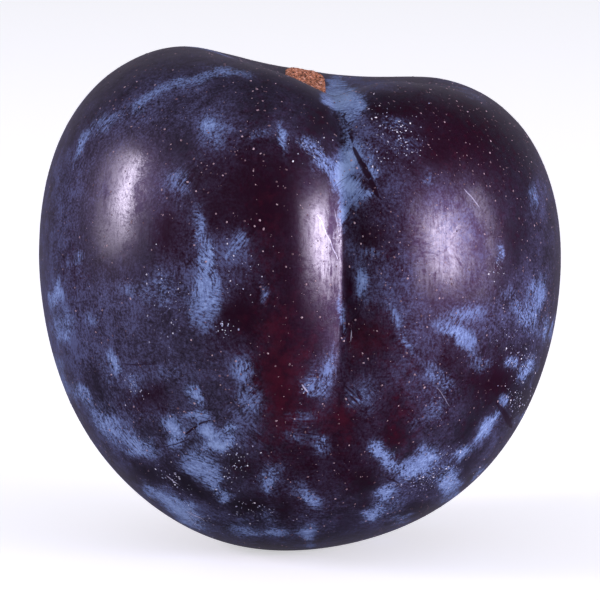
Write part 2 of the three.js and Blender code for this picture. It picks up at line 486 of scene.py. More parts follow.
BLOOM_PATCHES = (
    # streaked arc over the left shoulder
    (-18, 23.5, 3.1, 0.9, 0.46, 38), (-13, 26, 3.6, 0.9, 0.43, 14), (-8.5, 27, 2.8, 0.8, 0.4, -6),
    (-22.5, 21, 2.4, 0.7, 0.4, 52),
    # left cheek, upper
    (-26, 18.5, 0.8, 2.4, 0.5, -18), (-24, 21, 1.7, 0.8, 0.35, 50), (-10.5, 20.5, 0.9, 0.8, 0.58),
    (-10, 20, 2.4, 2, 0.36), (-2, 19.5, 0.5, 2.1, 0.65), (-4.5, 20, 1.7, 0.7, 0.3, 10),
    (-14.6, 14, 1.8, 2, 0.4), (-16.5, 8.5, 0.7, 1.2, 0.2),
    # tall patch on the left cheek
    (-12, 9, 0.6, 2.4, 0.6), (-11.5, 5, 1.3, 3, 0.62), (-11.5, 0.5, 1.8, 4, 0.68),
    (-7, 6.5, 1.2, 2, 0.42, 12), (-8.5, 5, 1.1, 1.1, 0.4), (-4.5, 1, 0.6, 1.9, 0.4),
    # left edge
    (-29, 1, 0.5, 2.2, 0.68, 4), (-26.5, 5, 1.3, 0.6, 0.45, 55), (-28, -3.5, 1.1, 2.1, 0.55, 12),
    (-25, -2.5, 0.9, 1.1, 0.4), (-28.5, -8.5, 0.7, 2.6, 0.5, 15),
    # left cheek, lower
    (-20.5, 1, 1.5, 1.2, 0.3), (-16.5, 1.5, 2.6, 2.8, 0.28), (-22, -7.5, 0.7, 1.5, 0.8, 25),
    (-26, -11, 1.7, 1.1, 0.55, -30), (-23, -14.5, 3.6, 1.7, 0.58, -45),
    (-19, -17.5, 2.4, 1.5, 0.68, -40), (-19.5, -10, 1.2, 1.4, 0.35), (-15.5, -9, 2.6, 1.4, 0.22),
    (-20.8, -14.2, 4.6, 2.8, 0.18, -45), (-23, -8.6, 1.4, 3.2, 0.2, 22),
    # lower left
    (-12.2, -11.6, 0.9, 1.6, 0.82, 14), (-12.4, -15.4, 4.3, 1.9, 0.24, -22),
    (-11.8, -19, 3.2, 2.2, 0.22, -35), (-6.4, -15.4, 2.2, 1.9, 0.24),
    (-12.3, -13.7, 1.4, 0.4, 0.75, -15), (-14.8, -15.1, 1, 1.8, 0.9, 16),
    (-9.7, -17, 1.8, 0.9, 0.97, 18), (-10.8, -15.8, 1.5, 0.6, 0.8, -48),
    (-8, -15.2, 0.9, 0.8, 0.65, 30), (-11.2, -15.7, 0.6, 0.6, 0.6), (-11.6, -20, 2.3, 1.5, 0.78, -20),
    (-10, -21.8, 0.8, 1.5, 0.65), (-9, -23.3, 0.8, 1.1, 0.85), (-6.5, -8, 1.4, 2, 0.65),
    (-6, -12, 1.9, 1.9, 0.4), (-14.4, -25, 4, 1.3, 0.9, -36), (-18, -23, 1.4, 0.9, 0.6, -40),
    # bottom
    (-2.5, -27.7, 2, 0.8, 0.7, -6), (1, -28, 1.1, 1.3, 0.85), (-6.3, -27.1, 2.4, 0.8, 0.62, -13),
    (-3.6, -21.3, 1.4, 1.9, 0.65), (-3.5, -25.5, 1.6, 1.2, 0.4), (0, -22, 1.7, 1.4, 0.35),
    (1.5, -24, 0.9, 1.4, 0.65, 35), (4.5, -27.5, 1.9, 0.9, 0.2),
    # foot of the suture
    (3.3, -8.5, 0.9, 3, 0.44, -6), (1.5, -10, 1.4, 1.4, 0.5), (5, -2, 0.5, 3.1, 0.5),
    (-0.5, -15.5, 1.9, 1.4, 0.4), (2.5, -17, 1.1, 1.7, 0.5), (7, -11.5, 1.7, 2.4, 0.4),
    (0, -13.5, 2.6, 0.6, 0.35),
    # right flank of the suture
    (7.6, 2, 0.8, 2.4, 0.75, 4), (8.5, 6, 1.4, 0.9, 0.35), (5.4, 10.5, 0.6, 2.2, 0.75),
    # right cheek, middle
    (12, -3.5, 0.6, 3.6, 0.5, 28), (11.5, -2, 1.4, 0.9, 0.25), (18.6, -4.2, 2.9, 1.3, 0.62, -38),
    (20, -1.5, 2.6, 1.2, 0.38), (16.5, -9.5, 1.2, 2.6, 0.45, 40), (16, -13, 1.7, 1.7, 0.3),
    (15.5, 14.5, 1.2, 1.1, 0.35), (23.5, 5.5, 0.4, 1.3, 0.6, 12),
    # right edge
    (27.5, 12, 0.9, 2.1, 0.4, -8), (28, 0, 1, 3.2, 0.52, -4), (26.6, -2, 1.2, 2.2, 0.5, 15),
    (25, 0, 0.9, 1.7, 0.25), (27, -8, 1.1, 1.8, 0.75, -20), (25, -7, 0.6, 0.8, 0.6),
    (21.5, -7.5, 1.7, 1.2, 0.3), (29.5, -3.5, 0.6, 2.1, 0.5, -10),
    # lower right
    (10, -18.4, 2.5, 1.1, 0.97, -38), (14, -19.5, 2.9, 1.8, 0.82, 25), (17.5, -21.5, 1.2, 2, 0.78, -38),
    (22.2, -15.2, 2.6, 0.9, 0.82, 60), (24, -11.5, 0.7, 1.1, 0.75, 20),
    (19.5, -18.5, 1.4, 0.8, 0.7, 40), (10.5, -23, 1.3, 1.1, 0.7, 20), (8.5, -25.5, 1.3, 0.9, 0.72, 25),
    (18, -23.5, 1.7, 0.7, 0.55, 35), (21, -20.5, 1.7, 0.6, 0.5, 45), (26, -14, 0.7, 1.4, 0.5, -30),
    (13.5, -14.5, 0.9, 0.9, 0.3), (12.5, -26, 1.9, 0.5, 0.45, 20), (10.7, -24.6, 2.8, 1.9, 0.36, 15),
    # notch at the brim
    (5, 24, 1.8, 1.3, 0.9), (5.2, 23.6, 1.5, 1.2, 0.9), (8.8, 15.2, 0.5, 2, 0.6, 12),
    (7, 23, 1.3, 1.2, 0.8), (5.5, 21.5, 1.1, 1.2, 0.65), (5.7, 16, 1.5, 2.6, 1, -25),
    (5.5, 15.8, 1.2, 2.2, 1, -20), (6.3, 13.2, 1.1, 2.2, 0.95, 12), (7.8, 12.2, 1.1, 1, 0.45, 20),
    (3, 16, 1.4, 1.1, 0.55), (4.3, 25.4, 1.2, 0.9, 0.65, 20), (3.2, 24, 1.4, 0.5, 0.6, -40),
    (5.5, 19, 0.7, 1.4, 0.5), (1, 18.5, 1.4, 1.2, 0.5, -30), (2.5, 17, 1.2, 0.9, 0.35, -20),
    # right shoulder
    (12, 18.5, 2.4, 1.1, 0.25), (11.5, 21, 1.9, 1.1, 0.25), (8.5, 12.5, 0.7, 0.6, 0.4),
    (20, 24.5, 3.1, 0.5, 0.3, -20),
)
HAZE_PATCHES = (
    (7.5, 25.9, 4, 0.9, 0.6, -4), (7.3, 19.8, 1.4, 3.2, 0.9, 28), (10.5, 1, 3.6, 17, 0.5),
    (-29, 4, 3.2, 14, 0.5), (-20, -4, 5, 6, 0.35), (-17, -24, 10, 3, 0.55, -38), (0, -28, 12, 2.6, 0.5),
    (14, -24.5, 8, 2.4, 0.25, 28), (18.5, 8, 5, 8, 0.55, 15), (6.2, 6, 1.2, 5, 0.6, -5),
    (-16.5, 23.5, 8.9, 3.8, 0.6, 28), (-11, 20.5, 5, 3.3, 0.6), (-2, 21, 2.8, 2.8, 0.45),
    (-27.5, 14, 2.4, 5.7, 0.45, -8), (-16, 13, 3.1, 3.6, 0.45), (-11.5, 3.5, 4, 7.4, 0.75),
    (-7, 6, 2.6, 3.6, 0.4), (-22.5, -0.5, 5, 4.5, 0.55), (-27.5, -4.5, 2.1, 5.3, 0.7, 12),
    (-18, -12.5, 7.1, 5.3, 0.5, -25), (-22, -15.5, 5.5, 2.8, 0.6, -45), (-7.5, -16.5, 5, 5.5, 0.55),
    (-13.5, -23.5, 5.9, 2.4, 0.55, -35), (0.5, -25, 7.8, 3.6, 0.4), (13.5, -20, 6.9, 3.8, 0.45, 10),
    (27.5, 0, 2.8, 6.9, 0.5), (21.5, -2.5, 5, 3.1, 0.6), (13.5, -4, 2.6, 5.2, 0.4, 20),
    (5.5, 18, 2.8, 7.1, 0.55, 5), (7, 2, 1.4, 3.3, 0.5), (-6.5, -7.5, 2.4, 3.1, 0.45),
    (2.5, -8.5, 2.4, 3.6, 0.55), (29, 12, 1.4, 5.5, 0.45), (15.5, -12, 4, 3.1, 0.35),
    (20, 25, 7.1, 0.7, 0.5, -18), (22, -16.5, 3.6, 2.8, 0.5, 45), (-14, -8.5, 5.2, 2.8, 0.25),
    (-23.5, 14, 2.6, 5.9, 0.35, -15),
)
BARE_AND_SHADE_PATCHES = (
    # patches where the wax is wiped off; the third one on the next line, a narrow band beside the foot of the
    # suture, is painted shade in the crease's fold
    (-18.2, -15.6, 1.1, 1.2, 0.7), (-12.4, -17.1, 1.3, 0.5, 0.7, 10), (5.9, 1.4, 0.8, 4.2, 0.9, 10),
    (-9.5, 10.5, 2.6, 2.6, 0.7), (-4, 11.5, 2.6, 4.5, 0.95), (-15.5, 8, 1.9, 2.7, 0.8),
    (-14, 18.5, 1.8, 1.8, 0.6), (-14.5, 23, 2.4, 0.9, 0.4, 25), (-4.5, 22.5, 2.8, 1.2, 0.5, -10),
    (-9, -1.5, 1.9, 1.4, 0.8), (-6.5, -2, 1.9, 2.6, 0.9), (-2, -10, 2.4, 7.4, 1),
    (-17.5, -11.5, 2.7, 1.4, 0.7), (-23.5, -11, 1.7, 2.4, 0.6, 20), (-18, -21, 2.4, 1.1, 0.75, -20),
    (-13, -22, 4, 1.3, 0.85, -38), (-7, -19, 1.7, 1.4, 0.7), (-6, -24.5, 2.4, 1.1, 0.85),
    (-2, -24.5, 1.9, 1.7, 0.7), (11.5, -16.5, 2, 2.8, 0.95), (7.5, -21.5, 2.3, 2.3, 0.95),
    (23, -9.5, 2, 2.6, 0.85, -25), (20, -15, 1.2, 2.6, 0.75, -28), (9, -4.5, 3.3, 3.1, 0.75),
    (11.5, -12.5, 2.1, 2.6, 0.5), (5.5, -14.5, 1.7, 2.4, 0.7), (4.5, -26.5, 2.4, 2.4, 0.5),
    (13.5, -25, 2.4, 0.8, 0.7, 15), (20, -19.5, 1.2, 0.9, 0.55, 35), (21.5, 20, 5.2, 4.7, 0.85, -25),
    (11, 23, 3.1, 1.2, 0.9), (2.5, 21, 2.4, 2.6, 0.9), (9, 8, 3.6, 2.1, 0.6), (25, 7, 1.5, 3.3, 0.75),
    (16.5, 17.5, 2.6, 1.9, 0.75), (-0.5, 0, 0.9, 1.2, 0.8), (1, -4.5, 1.7, 2.4, 0.6),
    (-20, -20, 1.4, 1.4, 0.3),
)
WARM_PATCHES = (
    (-2.5, 0, 5.2, 20, 1), (4, -16, 5, 7, 1), (15, 16, 10, 9, 1, -15), (12, -7, 8, 11, 1),
    (9, 5, 4, 8, 0.9), (18, 5, 6, 8, 0.7), (-15, 7.5, 3, 4, 1), (-9, 16, 5, 5, 0.7), (-8, 8, 5, 6, 0.8),
    (-8, -3, 4, 4, 0.9), (-18, -12, 3.2, 2, 0.9), (-27, 3, 2.5, 6, 0.6), (23, -9, 3, 4, 0.6, -25),
    (-2, -21, 5, 4, 0.6),
)
FLUSH_PATCHES = (
    (-3, -4, 2.6, 4.5, 0.6), (-2.5, -12, 3, 6, 1), (0, -8.5, 1.6, 3, 0.7), (6.5, -5.5, 1.6, 2.4, 0.7),
    (9, -4, 3.2, 3.4, 0.6), (5.5, -14.5, 1.6, 3, 0.85), (12.5, -11, 3.2, 4.6, 0.5),
    (2.5, -13.5, 2.4, 1.5, 0.6), (11.5, -16.5, 2, 2.6, 0.4), (-4, 7, 3.4, 6.5, 0.35),
    (17.5, 17.5, 5, 4, 0.2, -20), (13, 6, 4, 6, 0.3),
)
DULL_PATCHES = (
    (1.5, 11.5, 2.4, 6, -0.14), (22.4, 11, 1, 3.2, -0.3, 16), (4.1, 9.5, 0.7, 4.6, 0.9, -4),
    (4.4, -2.5, 1.2, 4.2, 0.75), (2, -4.5, 3, 2.6, 0.5), (1.5, 2, 3, 2.8, 0.35),
    (17, 12.4, 3, 2.2, 0.75), (5.9, 1.4, 0.8, 4.6, 0.9, 10), (18.5, 4.5, 5.5, 8.5, 0.3),
    (21.2, 6.5, 0.9, 4.6, 0.95, 18), (25.2, 6, 2, 8, 0.9, 8), (20.6, 2.4, 1.2, 1.2, 0.5),
    (13.6, 8, 1.2, 3.2, 0.5, 15), (17.5, -0.5, 3.5, 0.8, 0.6), (-19, 12.4, 0.5, 3, 0.8, -5),
    (-22.9, 13, 0.45, 2.6, 0.7), (-16.4, 10.5, 2, 8.5, 0.95, 3), (-17, 17.8, 2, 1.8, 0.6),
    (-20.6, 6.3, 1.1, 0.9, 0.5), (-19, 3, 3, 1, 0.6), (0.9, 13.5, 0.5, 2.5, 0.4, -10),
)
# where the flecks lie: dry wax crumbs whose near-white colour also paints small glints
FLECK_AND_GLINT_PATCHES = (
    (-15.5, -0.5, 1.6, 3.6, 0.35), (-7.5, 4.5, 2, 2.6, 0.3), (-9.2, -3, 0.6, 0.6, 0.9),
    (11, 19.5, 2, 2, 1), (1.5, 17.5, 2, 1.2, 0.8, -30), (-8, -19, 1.3, 2.4, 0.8),
    (-9, -3.5, 0.9, 0.8, 0.9), (-15, -21.5, 1.4, 0.8, 0.7, -35), (-12.5, -26, 1.8, 0.6, 0.8, -35),
    (-19.5, -10.5, 1.2, 0.7, 0.6, -30), (23.5, 4, 0.5, 1.6, 0.8), (26, -6, 1.6, 2, 0.5),
    (25.5, -11.5, 1.2, 1.6, 0.7), (15, -21.5, 2.4, 0.9, 0.8, 15), (18, -18.5, 1.6, 0.9, 0.6, 30),
    (-5.5, -25, 2, 0.8, 0.6), (1, -11, 0.8, 0.8, 0.6),
)

View = namedtuple("View", "across up facing")
DRAWN_VIEW = (0.43, 0.03)  # the eye's distance, and the height that it looks at, for a mark drawn by chance
STEEPEST = 0.95  # the sine of the steepest view that such a mark is drawn in
OUT_OF_REACH = 1000.0  # millimetres that are added to the gap of a point that the front view doesn't show
SCRATCH_REACH = 0.0007  # how far from a scratch its gap is stored
HAIRLINES = 260  # how many are drawn by chance
HAIRLINE_REACH = 0.0022  # from the middle of the longest one to its end
HAIRLINE_WIDTH = 0.00016  # of the widest one


def mesh_arrays(mesh):
    points = np.empty(len(mesh.vertices) * 3, np.float32)
    normals = np.empty(len(mesh.vertices) * 3, np.float32)
    mesh.vertices.foreach_get("co", points)
    mesh.vertex_normals.foreach_get("vector", normals)
    return points.reshape(-1, 3), normals.reshape(-1, 3)


def seen_from(points, normals, azimuth, elevation, distance, height):
    """How points look to an eye: across and up at the fruit's middle, and how squarely they face it."""
    right = np.array((math.cos(azimuth), math.sin(azimuth), 0.0))
    ahead = np.array((-math.sin(azimuth), math.cos(azimuth), 0.0)) * math.cos(elevation)
    ahead[2] = -math.sin(elevation)
    up = np.cross(right, ahead)
    eye = np.array((0.0, 0.0, height)) - ahead * distance
    ray = points - eye
    depth = ray @ ahead
    facing = -(normals * ray).sum(1) / np.linalg.norm(ray, axis=1)
    return View((ray @ right) / depth * distance, (ray @ up) / depth * distance, facing)


def warp_field(points, size, seed):
    """A smooth random push for every point, about -1 to 1 each way. Seed 0 would draw it from the clock."""
    noise.seed_set(seed)
    return np.array([noise.noise_vector(Vector(p) / size) for p in points.tolist()])


def patch_mask(view, patch, push, sharpness):
    """How much of one patch lies on each point."""
    across = view.across / MM + push[:, 0] - patch.across
    up = view.up / MM + push[:, 2] - patch.up
    turn = math.radians(patch.tilt)
    along = (across * math.cos(turn) + up * math.sin(turn)) / patch.wide
    over = (up * math.cos(turn) - across * math.sin(turn)) / patch.tall
    return patch.amount * np.exp(-(np.hypot(along, over) ** sharpness))


def gathered(view, patches, push, sharpness):
    """Patches laid over one another, none counting past 1."""
    left = np.ones(len(view.across))
    for row in patches:
        left *= 1 - patch_mask(view, Patch(*row), push, sharpness)
    return 1 - left


def drawn_patches(points, normals, push, sharpness, rng, count, widest):
    """Patches drawn by chance all over the fruit, each seen from straight above its own middle."""
    left = np.ones(len(points))
    for _ in range(count):
        azimuth = rng.uniform(0, 2 * math.pi)
        elevation = math.asin(rng.uniform(-STEEPEST, STEEPEST))
        view = seen_from(points, normals, azimuth, elevation, *DRAWN_VIEW)
        wide = widest * rng.uniform(0.2, 1.0)
        tall = wide * rng.uniform(0.3, 1.0)
        tilt = rng.uniform(0, 180)
        patch = Patch(0, 0, wide, tall, rng.uniform(0.4, 1.0), tilt)
        left *= 1 - patch_mask(view, patch, push, sharpness) * (view.facing > 0)
    return 1 - left


def smooth_ramp(value, low, high):
    step = np.clip((value - low) / (high - low), 0, 1)
    return step * step * (3 - 2 * step)


def paint_skin(mesh, stage, seed):
    """Stores on the skin's points where the wax, flush, dull gloss, dots, flecks and scratches lie."""
    points, normals = mesh_arrays(mesh)
    rng = np.random.default_rng(seed)
    front = seen_from(points, normals, 0.0, stage.view_elevation, stage.view_distance, stage.view_height)
    # the front's planned marks end where it turns away: the crisp ones at once, the soft ones further round
    crisp = smooth_ramp(front.facing, -0.02, 0.10)
    soft = smooth_ramp(front.facing, -0.40, 0.10)
    push = 0.8 * warp_field(points, 0.0050, 1) + 0.6 * warp_field(points, 0.0016, 2)
    # planned patches, where they count, their sharpness, and how many more are drawn up to what half width
    plans = {
        "haze": (HAZE_PATCHES, soft, 1.6, 100, 8.0),
        "bare": (BARE_AND_SHADE_PATCHES, soft, 1.8, 42, 6.5),
        "warm": (WARM_PATCHES, soft, 1.6, 26, 13.0),
        "bloom": (BLOOM_PATCHES, crisp, 2.6, 130, 5.5),
        "flush": (FLUSH_PATCHES, soft, 1.6, 12, 6.0),
        "dull": (DULL_PATCHES, soft, 2.2, 40, 5.0),
        "flecks": (FLECK_AND_GLINT_PATCHES, crisp, 1.6, 22, 2.2),
    }
    marks = {}
    for name, (patches, shown, sharpness, count, widest) in plans.items():
        planned = gathered(front, patches, push, sharpness)
        drawn = drawn_patches(points, normals, push, sharpness, rng, count, widest)
        marks[name] = shown * planned + (1 - shown) * drawn
    bare = marks.pop("bare")
    # a thin veil lies everywhere, bare patches wipe it off, and it is thicker round the bloom
    haze = (0.12 + 0.88 * marks["haze"]) * (1 - 0.95 * bare)
    marks["haze"] = haze + 0.45 * marks["bloom"] * (1 - haze)
    marks["bloom"] = marks["bloom"] * (1 - 0.6 * bare)
    # the lenticels are denser high up and on the right, and the flat spot has none
    height = (points[:, 2] - CAD_LOW.z) / CAD_SIZE.z
    side = np.clip(points[:, 0] / CAD_HIGH.x, -1, 1)
    marks["lenticels"] = np.clip(0.55 + 0.3 * side + 0.35 * height, 0.15, 1.0) * (height > 0.01)
    for name, values in marks.items():
        layer = mesh.attributes.new(name, "FLOAT", "POINT")
        layer.data.foreach_set("value", values.astype(np.float32))
    scratches = [*drawn_scratches(points, normals, front, rng), *planned_scratches(points, front)]
    paint_scratches(mesh, points, normals, scratches)


def planned_scratches(points, front):
    """The planned scratches, laid from end to end on the skin."""
    hidden = (front.facing < 0.05) * OUT_OF_REACH

    def nearest(across, up):
        return (np.hypot(front.across / MM - across, front.up / MM - up) + hidden).argmin()

    for tint, rows in (("dark", DARK_SCRATCHES), ("pale", PALE_SCRATCHES)):
        for start_across, start_up, end_across, end_up, wide, amount in rows:
            start, end = nearest(start_across, start_up), nearest(end_across, end_up)
            yield start, points[start], points[end], wide * MM, tint, amount


def drawn_scratches(points, normals, front, rng):
    """Hairlines drawn by chance all over the fruit, the pale ones only where the plan doesn't reach."""
    for middle in rng.integers(len(points), size=HAIRLINES):
        way = np.cross(normals[middle], rng.normal(size=3))
        way *= HAIRLINE_REACH * rng.uniform(0.1, 1.0) ** 2 / np.linalg.norm(way)
        wide = HAIRLINE_WIDTH * rng.uniform(0.35, 1.0) ** 2
        tint = "dark" if rng.uniform() < 0.75 or front.facing[middle] > 0 else "pale"
        yield middle, points[middle] - way, points[middle] + way, wide, tint, rng.uniform(0.2, 0.6)


def paint_scratches(mesh, points, normals, scratches):
    """Stores for each point the gap to the scratch beside it, that scratch's half width, and its strength."""
    marks = {tint: np.zeros((len(points), 3)) for tint in ("dark", "pale")}
    nearest = {tint: np.full(len(points), 1.0) for tint in marks}
    for place, start, end, wide, tint, amount in scratches:
        line = end - start
        along = np.clip((points - start) @ line / (line @ line), 0, 1)
        gap = points - start - along[:, None] * line
        side = np.cross(line, normals[place])
        taper = np.sqrt(4 * along * (1 - along))
        off = np.linalg.norm(gap, axis=1) - wide / 2
        beside = (off < SCRATCH_REACH) & (off < nearest[tint])
        nearest[tint][beside] = off[beside]
        signed = gap @ side / np.linalg.norm(side) / MM
        values = np.stack((signed, taper * wide / 2 / MM, np.full(len(points), amount)), 1)
        marks[tint][beside] = values[beside]
    for tint, values in marks.items():
        layer = mesh.attributes.new(f"{tint}_scratch", "FLOAT_VECTOR", "POINT")
        layer.data.foreach_set("vector", values.astype(np.float32).ravel())


# ---- Shader node groups ----


def new_shader_group(name, inputs, outputs):
    """A shader node group with named sockets. Returns it with its inputs as Terms."""
    group = bpy.data.node_groups.new(name, "ShaderNodeTree")
    for key, kind in inputs.items():
        group.interface.new_socket(key, in_out="INPUT", socket_type="NodeSocket" + kind)
    for key, kind in outputs.items():
        group.interface.new_socket(key, in_out="OUTPUT", socket_type="NodeSocket" + kind)
    entry = add_node(group, "NodeGroupInput")
    return group, {key: Term(group, entry.outputs[key]) for key in inputs}


def end_group(group, outputs):
    add_node(group, "NodeGroupOutput", outputs)
    return group


def use_group(tree, group, inputs):
    made = add_node(tree, "ShaderNodeGroup", node_tree=group)
    for key, value in inputs.items():
        plug(tree, value, made.inputs[key])
    return {socket.name: Term(tree, socket) for socket in made.outputs}


def opaque(values):
    return (*values, 1.0)


def blend_colours(amount, first, second):
    """Mixes two colours, each a Term or three numbers."""
    made = add_node(amount.tree, "ShaderNodeMix", {0: amount}, data_type="RGBA")
    for socket, value in ((6, first), (7, second)):
        plug(amount.tree, value if isinstance(value, Term) else opaque(value), made.inputs[socket])
    return Term(amount.tree, made.outputs[2])


def blend_values(amount, first, second):
    return first + (second - first) * amount


def streaks_group():
    """Fine brush strokes that run one way."""
    inputs = {"Vector": "Vector", "Turn": "Vector", "Fineness": "Float", "Stretch": "Float"}
    group, given = new_shader_group("Brush strokes", inputs, {"Strokes": "Float"})
    turn = {"Vector": given["Vector"], "Rotation": given["Turn"]}
    x, y, z = separate(add_term(group, "ShaderNodeVectorRotate", turn, rotation_type="EULER_XYZ"))
    fine = given["Fineness"]
    drawn_out = combine(x * fine, y * fine, z * fine / given["Stretch"])
    strokes = fractal(drawn_out, 1.0, detail=3.0, roughness=0.6, distortion=0.25)
    return end_group(group, {"Strokes": strokes.ramp(0.32, 0.68)})


def worn_wax_group(strokes):
    """Wax bloom, rubbed thin by handling: clouds with brushed, speckled edges."""
    inputs = {"Vector": "Vector", "Haze": "Float", "Bloom": "Float", "Crumbs": "Float"}
    outputs = ("Haze", "Bloom", "Thickness", "Strokes", "Grain", "Softness")
    group, given = new_shader_group("Worn wax", inputs, dict.fromkeys(outputs, "Float"))
    place = given["Vector"]
    cloud = fractal(place, 0.33, detail=7.0, roughness=0.62, distortion=0.5)
    patchy = fractal(place, 0.9, detail=5.0, roughness=0.7, distortion=0.8)
    grain = fractal(place, 3.6, detail=2.0, roughness=0.75).ramp(0.32, 0.68)
    ways = []
    for turn in ((0.1, 0.0, 0.0), (0.0, 0.75, 0.2), (0.1, -0.70, 0.0), (0.0, 1.45, 0.1)):
        drawn = use_group(group, strokes, {"Vector": place, "Turn": turn, "Fineness": 4.2, "Stretch": 9.0})
        ways.append(drawn["Strokes"])
    choice = fractal(place, 0.16, detail=1.0)
    other = fractal(combine(*[p + 40.0 for p in separate(place)]), 0.16, detail=1.0)
    slanted = blend_values(choice.ramp(0.44, 0.56), ways[1], ways[2])
    level = blend_values(other.ramp(0.50, 0.62), ways[0], ways[3])
    brushed = blend_values(other.ramp(0.40, 0.50), slanted, level)
    uneven = (cloud - 0.5) * 2.2 + (patchy - 0.5) * 1.6 + (brushed - 0.5) * 0.5 + (grain - 0.5) * 0.9
    ragged = (cloud - 0.5) * 0.9 + (patchy - 0.5) * 1.1 + (brushed - 0.5) * 0.8
    ragged = ragged + (grain - 0.5) * (given["Crumbs"] * 1.2 + 0.45)
    solid = given["Bloom"].ramp(0.6, 1.0)
    thickness = given["Bloom"] + ragged * (given["Bloom"].math("MINIMUM", 0.6) + 0.12) * (1 - solid * 0.5)
    softness = (choice + (other - 0.5) * 0.5 + (separate(place)[2] - 26.0) * 0.006).ramp(0.40, 0.60)
    bloom = ((thickness - 0.52) / (softness * 0.28 + 0.08) + 0.5).ramp(0.0, 1.0)
    made = (given["Haze"] * (uneven + 1), bloom, thickness, brushed, grain, softness)
    return end_group(group, dict(zip(outputs, made)))


def scratch_group():
    """A thin mark with a slightly wandering edge, from its stored gap, half width and strength."""
    group, given = new_shader_group("Scratch", {"Vector": "Vector", "Stray": "Float"}, {"Mark": "Float"})
    gap, half_width, amount = separate(given["Vector"])
    off = (gap + given["Stray"]).math("ABSOLUTE")
    return end_group(group, {"Mark": (1 - (off / (half_width + 0.001)).ramp(0.6, 1.3)) * amount})


# ---- Materials ----


def new_material(name):
    """A material with its Principled shader and the place on the piece in millimetres."""
    material = bpy.data.materials.new(name)
    material.use_nodes = True
    tree = material.node_tree
    shader = next(n for n in tree.nodes if n.type == "BSDF_PRINCIPLED")
    seat = add_term(tree, "ShaderNodeTexCoord", output="Object")
    return material, tree, shader, vector_math("SCALE", seat, Scale=1 / MM)


def attribute(tree, name, output="Fac"):
    return add_term(tree, "ShaderNodeAttribute", output=output, attribute_name=name)


def finish_shader(tree, shader, base, roughness, height, depth, **numbers):
    """Connects the finish, with a bump whose full height is depth in metres."""
    plug(tree, base, shader.inputs["Base Color"])
    plug(tree, roughness, shader.inputs["Roughness"])
    bump = add_term(tree, "ShaderNodeBump", {"Height": height, "Distance": depth, "Strength": 1.0})
    plug(tree, bump, shader.inputs["Normal"])
    for key, value in numbers.items():
        shader.inputs[key.replace("_", " ")].default_value = value


def skin_material(colours, worn_wax, scratch):
    material, tree, shader, place = new_material("Plum skin")
    parts = {"Haze": "haze", "Bloom": "bloom", "Crumbs": "flecks"}
    parts = {key: attribute(tree, name) for key, name in parts.items()}
    given = use_group(tree, worn_wax, {"Vector": place, **parts})
    bloom, thickness, strokes, grain = (given[key] for key in ("Bloom", "Thickness", "Strokes", "Grain"))
    # the veil is thickened toward the grazing edges: this paints a pale bluish rim sheen into the skin's
    # colour there, and also makes those edges rougher and less glossy
    facing = add_term(tree, "ShaderNodeLayerWeight", {"Blend": 0.3}, "Facing")
    haze = given["Haze"] + facing**3 * 0.35
    mottle = fractal(place, 1.0, detail=6.0, roughness=0.72)
    warmth = (attribute(tree, "warm") + (mottle - 0.5) * 1.2).ramp(0.15, 0.7)
    redness = (attribute(tree, "flush") * 0.9 + (mottle - 0.5) * 2.4 - 0.1).ramp(0.0, 1.0)
    bare = blend_colours(warmth, colours.slate, colours.skin)
    bare = blend_colours(redness, bare, colours.flush)
    film = blend_colours(haze.ramp(0.35, 1.2), colours.veil, colours.thin_bloom)
    film = blend_colours(haze.ramp(0.0, 0.9) * 0.95, bare, film)
    powder = thickness.ramp(0.10, 0.70) * (given["Softness"] * 0.45 + 0.45)
    powder = blend_colours(powder, film, colours.mid_bloom)
    thick = blend_colours(thickness.ramp(0.60, 1.10), colours.mid_bloom, colours.bloom)
    base = blend_colours(bloom, powder, thick)
    smears = fractal(place, 0.6, detail=6.0, roughness=0.65, distortion=0.9)
    dull = attribute(tree, "dull") * 0.9
    shine = (strokes - 0.5) * 0.6 + (smears - 0.5) * 1.6 + (grain - 0.5) * 0.3 + 0.9 - dull
    shine = shine.ramp(0.0, 1.35) * (1 - bloom * 0.7) * (1.2 - haze * 0.9).ramp(0.0, 1.0)
    height = bloom * 0.6 + grain * 0.18 + strokes * 0.3
    roughness = bloom * 0.12 + haze * 0.06 + (grain - 0.5) * 0.05 + 0.36
    stray = (fractal(place, 0.6, detail=2.0) - 0.5) * 0.4
    for tint, name, deep in ((colours.scratch, "dark_scratch", 0.5), (colours.scuff, "pale_scratch", -0.3)):
        parts = {"Vector": attribute(tree, name, "Vector"), "Stray": stray}
        mark = use_group(tree, scratch, parts)["Mark"]
        base = blend_colours(mark, base, tint)
        height = height - mark * deep
        shine = shine - mark * deep
    plug(tree, shine, shader.inputs["Coat Weight"])
    numbers = {"Coat_Roughness": 0.205, "Coat_IOR": 1.6, "Specular_IOR_Level": 0.28}
    numbers["Specular_Tint"] = opaque(colours.sheen)
    finish_shader(tree, shader, base, roughness, height, 0.01 * MM, **numbers)
    return material


def dot_material(name, tint, shade):
    """Small dry dots, or crumbs of wax whose pale colour also paints small glints: each has a paleness of its
    own, between the shade and the tint.
    """
    material, tree, shader, place = new_material(name)
    pale = attribute(tree, "paleness")
    grain = fractal(place, 9.0, detail=2.0)
    base = blend_colours((pale**1.8 + (grain - 0.5) * 0.3).ramp(0.0, 1.0), shade, tint)
    finish_shader(tree, shader, base, 0.55 + (grain - 0.5) * 0.2, grain, 0.01 * MM)
    return material


def cork_material(colours):
    material, tree, shader, place = new_material("Cork")
    coarse = fractal(place, 1.1, detail=6.0, roughness=0.75, distortion=0.6)
    fine = fractal(place, 3.6, detail=3.0, roughness=0.7)
    pits = (fine * 0.6 + coarse * 0.4).ramp(0.42, 0.53)
    base = blend_colours(pits, colours.cork_dark, colours.cork)
    base = blend_colours((fine + (coarse - 0.5) * 0.5).ramp(0.56, 0.68), base, colours.cork_pale)
    finish_shader(tree, shader, base, 0.8 + (fine - 0.5) * 0.2, fine * 0.6 + coarse * 0.4, 0.12 * MM)
    return material


# ---- Small marks on the skin ----


